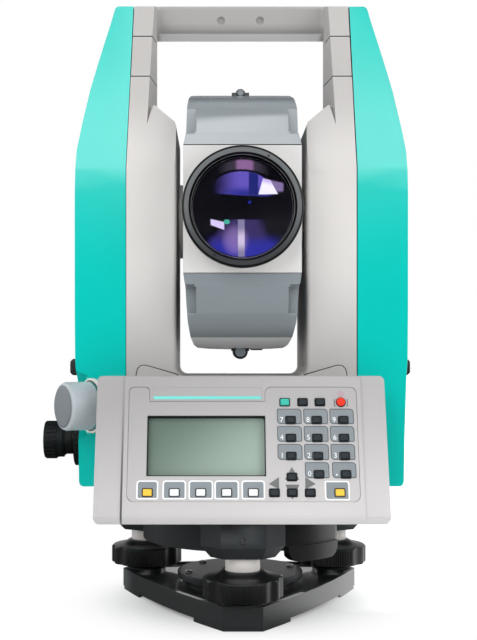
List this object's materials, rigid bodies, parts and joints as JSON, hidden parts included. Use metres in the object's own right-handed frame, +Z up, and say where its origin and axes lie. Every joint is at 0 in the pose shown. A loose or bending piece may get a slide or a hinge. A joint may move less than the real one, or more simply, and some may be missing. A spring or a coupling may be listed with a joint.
{
  "type": "surveying total station",
  "caption": "Surveying total station: tilting telescope in a two-standard yoke with carrying handle, sloped keyboard and display, on a levelling tribrach with foot screws.",
  "frame": {"origin": "on the vertical axis at the underside of the base plate, the mouth of the tripod screw socket", "axes": "+Z up along the vertical axis, +X to the right seen from the keyboard side, -Y out of the keyboard and the objective"},
  "size_m": [0.2012, 0.1617, 0.3231],
  "materials": {
    "base_black": "gloss black enamel",
    "tribrach_grey": "satin dark grey paint",
    "black_plastic": "fine matt black",
    "vial_glass": "clear, yellow-green liquid",
    "warm_grey": "fine satin texture",
    "teal": "satin teal paint",
    "sheet_grey": "matt film",
    "display": "clear window over a grey-green display",
    "knob_grey": "satin blue-grey",
    "housing_white": "satin off-white paint",
    "cover_grey": "satin blue-grey",
    "ring_metal": "dark anodised",
    "lens_glass": "coated glass, blue-violet reflections",
    "key_yellow": "soft key",
    "key_white": "soft key",
    "key_teal": "soft key",
    "key_red": "soft key",
    "key_black": "soft key"
  },
  "bodies": {
    "base": {"base_plate": "base_black", "centre_disc": "tribrach_grey", "tribrach_body": "tribrach_grey", "circular_level": "vial_glass"},
    "foot_screw_a": {"foot_screw_1": "black_plastic"},
    "foot_screw_b": {"foot_screw_2": "black_plastic"},
    "foot_screw_c": {"foot_screw_3": "black_plastic"},
    "lever": {"clamp_lever": "black_plastic"},
    "alidade": {"alidade_flange": "tribrach_grey", "yoke": "warm_grey", "cover_left": "teal", "cover_right": "teal", "handle": "warm_grey", "front_cover": "warm_grey", "rear_cover": "warm_grey", "panel_case": "warm_grey", "keypad_sheet": "sheet_grey", "lcd_window": "display", "plummet_barrel": "black_plastic"},
    "telescope": {"telescope_housing": "housing_white", "scope_cover_top": "cover_grey", "scope_cover_bottom": "cover_grey", "objective_ring": "ring_metal", "objective_lens": "lens_glass", "sights": "black_plastic"},
    "focus": {"focus_ring": "black_plastic"},
    "ocular": {"eyepiece": "black_plastic"},
    "h_tangent": {"h_tangent_knob": "knob_grey"},
    "v_tangent": {"v_tangent_knob": "knob_grey"},
    "plum_ring": {"plummet_ring": "black_plastic"},
    "plum_ocular": {"plummet_eyepiece": "black_plastic"},
    "door_left": {"battery_door_left": "teal"},
    "door_right": {"battery_door_right": "teal"},
    "latch_left": {"battery_latch_left": "black_plastic"},
    "latch_right": {"battery_latch_right": "black_plastic"},
    "key_esc_cap": {"key_esc": "key_yellow"},
    "key_soft_1_cap": {"key_soft_1": "key_white"},
    "key_soft_2_cap": {"key_soft_2": "key_white"},
    "key_soft_3_cap": {"key_soft_3": "key_white"},
    "key_soft_4_cap": {"key_soft_4": "key_white"},
    "key_enter_cap": {"key_enter": "key_yellow"},
    "key_mode_cap": {"key_mode": "key_teal"},
    "key_menu_cap": {"key_menu": "key_black"},
    "key_light_cap": {"key_light": "key_black"},
    "key_power_cap": {"key_power": "key_red"},
    "key_7_cap": {"key_7": "key_black"},
    "key_8_cap": {"key_8": "key_black"},
    "key_9_cap": {"key_9": "key_black"},
    "key_4_cap": {"key_4": "key_black"},
    "key_5_cap": {"key_5": "key_black"},
    "key_6_cap": {"key_6": "key_black"},
    "key_1_cap": {"key_1": "key_black"},
    "key_2_cap": {"key_2": "key_black"},
    "key_3_cap": {"key_3": "key_black"},
    "key_0_cap": {"key_0": "key_black"},
    "key_dot_cap": {"key_dot": "key_black"},
    "key_up_cap": {"key_up": "key_black"},
    "key_left_cap": {"key_left": "key_black"},
    "key_down_cap": {"key_down": "key_black"},
    "key_right_cap": {"key_right": "key_black"}
  },
  "joints": [
    {"name": "foot_screw_a_turn", "type": "hinge", "parent": "base", "child": "foot_screw_a", "pos_m": [0, -0.0614, 0.02], "axis": [0, 0, 1], "range_deg": [-1080, 1080]},
    {"name": "foot_screw_b_turn", "type": "hinge", "parent": "base", "child": "foot_screw_b", "pos_m": [0.05317, 0.0307, 0.02], "axis": [0, 0, 1], "range_deg": [-1080, 1080]},
    {"name": "foot_screw_c_turn", "type": "hinge", "parent": "base", "child": "foot_screw_c", "pos_m": [-0.05317, 0.0307, 0.02], "axis": [0, 0, 1], "range_deg": [-1080, 1080]},
    {"name": "clamp_lever_turn", "type": "hinge", "parent": "base", "child": "lever", "pos_m": [0, 0, 0.045], "axis": [0, 0, 1], "range_deg": [0, 30]},
    {"name": "alidade_turn", "type": "hinge", "parent": "base", "child": "alidade", "pos_m": [0, 0, 0.05], "axis": [0, 0, 1], "continuous": true},
    {"name": "telescope_tilt", "type": "hinge", "parent": "alidade", "child": "telescope", "pos_m": [0, 0, 0.2074], "axis": [1, 0, 0], "continuous": true},
    {"name": "focus_turn", "type": "hinge", "parent": "telescope", "child": "focus", "pos_m": [0, 0.062, 0.2074], "axis": [0, 1, 0], "range_deg": [-200, 200]},
    {"name": "eyepiece_turn", "type": "hinge", "parent": "telescope", "child": "ocular", "pos_m": [0, 0.07, 0.2074], "axis": [0, 1, 0], "range_deg": [-150, 150]},
    {"name": "h_tangent_turn", "type": "hinge", "parent": "alidade", "child": "h_tangent", "pos_m": [-0.091, -0.0485, 0.1084], "axis": [-0.848, -0.5299, 0], "continuous": true},
    {"name": "v_tangent_turn", "type": "hinge", "parent": "alidade", "child": "v_tangent", "pos_m": [-0.0723, 0.036, 0.16], "axis": [0, 1, 0], "continuous": true},
    {"name": "plummet_focus_turn", "type": "hinge", "parent": "alidade", "child": "plum_ring", "pos_m": [-0.09, 0.01, 0.087], "axis": [-1, 0, 0], "range_deg": [-180, 180]},
    {"name": "plummet_eyepiece_turn", "type": "hinge", "parent": "alidade", "child": "plum_ocular", "pos_m": [-0.1, 0.01, 0.087], "axis": [-1, 0, 0], "range_deg": [-180, 180]},
    {"name": "door_left_swing", "type": "hinge", "parent": "alidade", "child": "door_left", "pos_m": [-0.0846, 0.006, 0.201], "axis": [0, 1, 0], "range_deg": [0, 100]},
    {"name": "door_right_swing", "type": "hinge", "parent": "alidade", "child": "door_right", "pos_m": [0.0846, 0.006, 0.201], "axis": [0, -1, 0], "range_deg": [0, 100]},
    {"name": "latch_left_slide", "type": "slide", "parent": "door_left", "child": "latch_left", "axis": [0, 0, 1], "range_m": [0, 0.003]},
    {"name": "latch_right_slide", "type": "slide", "parent": "door_right", "child": "latch_right", "axis": [0, 0, 1], "range_m": [0, 0.003]},
    {"name": "key_esc_press", "type": "slide", "parent": "alidade", "child": "key_esc_cap", "axis": [0, 0.9475, -0.3198], "range_m": [0, 0.0008], "stiffness_N_per_m": 900, "springref_m": -0.0003},
    {"name": "key_soft_1_press", "type": "slide", "parent": "alidade", "child": "key_soft_1_cap", "axis": [0, 0.9475, -0.3198], "range_m": [0, 0.0008], "stiffness_N_per_m": 900, "springref_m": -0.0003},
    {"name": "key_soft_2_press", "type": "slide", "parent": "alidade", "child": "key_soft_2_cap", "axis": [0, 0.9475, -0.3198], "range_m": [0, 0.0008], "stiffness_N_per_m": 900, "springref_m": -0.0003},
    {"name": "key_soft_3_press", "type": "slide", "parent": "alidade", "child": "key_soft_3_cap", "axis": [0, 0.9475, -0.3198], "range_m": [0, 0.0008], "stiffness_N_per_m": 900, "springref_m": -0.0003},
    {"name": "key_soft_4_press", "type": "slide", "parent": "alidade", "child": "key_soft_4_cap", "axis": [0, 0.9475, -0.3198], "range_m": [0, 0.0008], "stiffness_N_per_m": 900, "springref_m": -0.0003},
    {"name": "key_enter_press", "type": "slide", "parent": "alidade", "child": "key_enter_cap", "axis": [0, 0.9475, -0.3198], "range_m": [0, 0.0008], "stiffness_N_per_m": 900, "springref_m": -0.0003},
    {"name": "key_mode_press", "type": "slide", "parent": "alidade", "child": "key_mode_cap", "axis": [0, 0.9475, -0.3198], "range_m": [0, 0.0008], "stiffness_N_per_m": 900, "springref_m": -0.0003},
    {"name": "key_menu_press", "type": "slide", "parent": "alidade", "child": "key_menu_cap", "axis": [0, 0.9475, -0.3198], "range_m": [0, 0.0008], "stiffness_N_per_m": 900, "springref_m": -0.0003},
    {"name": "key_light_press", "type": "slide", "parent": "alidade", "child": "key_light_cap", "axis": [0, 0.9475, -0.3198], "range_m": [0, 0.0008], "stiffness_N_per_m": 900, "springref_m": -0.0003},
    {"name": "key_power_press", "type": "slide", "parent": "alidade", "child": "key_power_cap", "axis": [0, 0.9475, -0.3198], "range_m": [0, 0.0008], "stiffness_N_per_m": 900, "springref_m": -0.0003},
    {"name": "key_7_press", "type": "slide", "parent": "alidade", "child": "key_7_cap", "axis": [0, 0.9475, -0.3198], "range_m": [0, 0.0008], "stiffness_N_per_m": 900, "springref_m": -0.0003},
    {"name": "key_8_press", "type": "slide", "parent": "alidade", "child": "key_8_cap", "axis": [0, 0.9475, -0.3198], "range_m": [0, 0.0008], "stiffness_N_per_m": 900, "springref_m": -0.0003},
    {"name": "key_9_press", "type": "slide", "parent": "alidade", "child": "key_9_cap", "axis": [0, 0.9475, -0.3198], "range_m": [0, 0.0008], "stiffness_N_per_m": 900, "springref_m": -0.0003},
    {"name": "key_4_press", "type": "slide", "parent": "alidade", "child": "key_4_cap", "axis": [0, 0.9475, -0.3198], "range_m": [0, 0.0008], "stiffness_N_per_m": 900, "springref_m": -0.0003},
    {"name": "key_5_press", "type": "slide", "parent": "alidade", "child": "key_5_cap", "axis": [0, 0.9475, -0.3198], "range_m": [0, 0.0008], "stiffness_N_per_m": 900, "springref_m": -0.0003},
    {"name": "key_6_press", "type": "slide", "parent": "alidade", "child": "key_6_cap", "axis": [0, 0.9475, -0.3198], "range_m": [0, 0.0008], "stiffness_N_per_m": 900, "springref_m": -0.0003},
    {"name": "key_1_press", "type": "slide", "parent": "alidade", "child": "key_1_cap", "axis": [0, 0.9475, -0.3198], "range_m": [0, 0.0008], "stiffness_N_per_m": 900, "springref_m": -0.0003},
    {"name": "key_2_press", "type": "slide", "parent": "alidade", "child": "key_2_cap", "axis": [0, 0.9475, -0.3198], "range_m": [0, 0.0008], "stiffness_N_per_m": 900, "springref_m": -0.0003},
    {"name": "key_3_press", "type": "slide", "parent": "alidade", "child": "key_3_cap", "axis": [0, 0.9475, -0.3198], "range_m": [0, 0.0008], "stiffness_N_per_m": 900, "springref_m": -0.0003},
    {"name": "key_0_press", "type": "slide", "parent": "alidade", "child": "key_0_cap", "axis": [0, 0.9475, -0.3198], "range_m": [0, 0.0008], "stiffness_N_per_m": 900, "springref_m": -0.0003},
    {"name": "key_dot_press", "type": "slide", "parent": "alidade", "child": "key_dot_cap", "axis": [0, 0.9475, -0.3198], "range_m": [0, 0.0008], "stiffness_N_per_m": 900, "springref_m": -0.0003},
    {"name": "key_up_press", "type": "slide", "parent": "alidade", "child": "key_up_cap", "axis": [0, 0.9475, -0.3198], "range_m": [0, 0.0008], "stiffness_N_per_m": 900, "springref_m": -0.0003},
    {"name": "key_left_press", "type": "slide", "parent": "alidade", "child": "key_left_cap", "axis": [0, 0.9475, -0.3198], "range_m": [0, 0.0008], "stiffness_N_per_m": 900, "springref_m": -0.0003},
    {"name": "key_down_press", "type": "slide", "parent": "alidade", "child": "key_down_cap", "axis": [0, 0.9475, -0.3198], "range_m": [0, 0.0008], "stiffness_N_per_m": 900, "springref_m": -0.0003},
    {"name": "key_right_press", "type": "slide", "parent": "alidade", "child": "key_right_cap", "axis": [0, 0.9475, -0.3198], "range_m": [0, 0.0008], "stiffness_N_per_m": 900, "springref_m": -0.0003}
  ]
}
